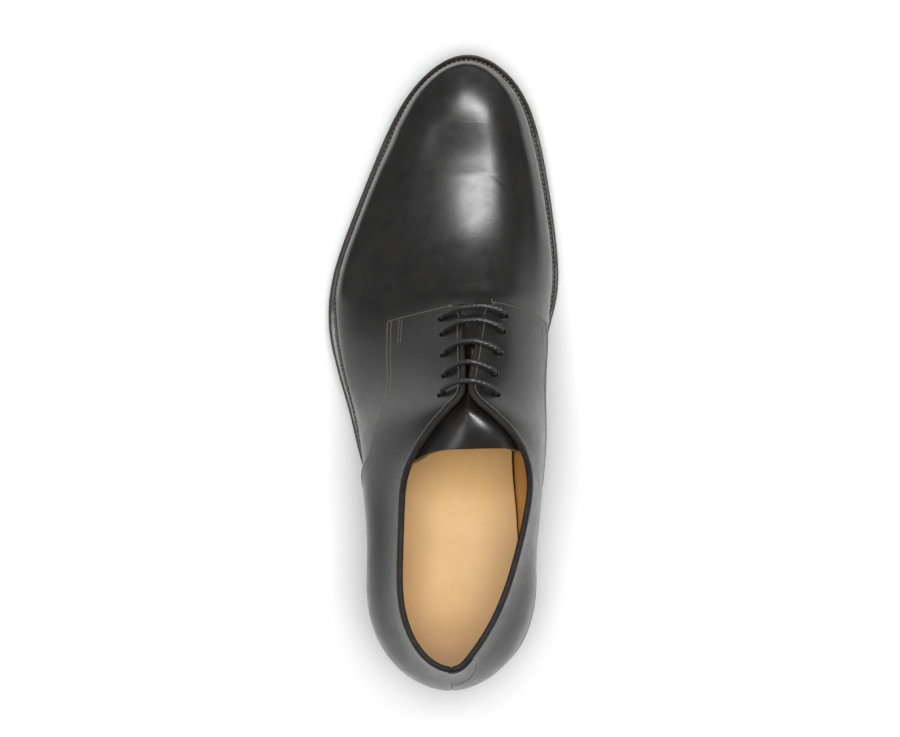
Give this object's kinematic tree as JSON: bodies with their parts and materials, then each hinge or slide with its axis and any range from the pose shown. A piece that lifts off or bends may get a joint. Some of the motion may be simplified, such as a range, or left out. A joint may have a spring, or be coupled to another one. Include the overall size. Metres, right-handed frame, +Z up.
{
  "type": "derby shoe",
  "caption": "Left derby dress shoe with welt, stacked heel, open lacing over a tongue, and a hollow upper open at the collar.",
  "frame": {"origin": "middle of the heel's walking face, on the ground", "axes": "+Y to the toe, +X to the inner side of the foot, +Z up"},
  "size_m": [0.1088, 0.2959, 0.1016],
  "materials": {
    "calf": "polished black box calf",
    "insole_leather": "tan vegetable leather, smooth",
    "welt_leather": "black dressed edge",
    "sole_leather": "dark dressed edge, burnished",
    "heel_leather": "stacked lifts, dressed dark",
    "top_lift_rubber": "matte, dark brown",
    "lace_cotton": "round waxed cotton"
  },
  "bodies": {
    "root": {"upper": "calf", "tongue": "calf", "insole": "insole_leather", "welt": "welt_leather", "outsole": "sole_leather", "heel_stack": "heel_leather", "top_lift": "top_lift_rubber", "lace": "lace_cotton"}
  },
  "joints": []
}
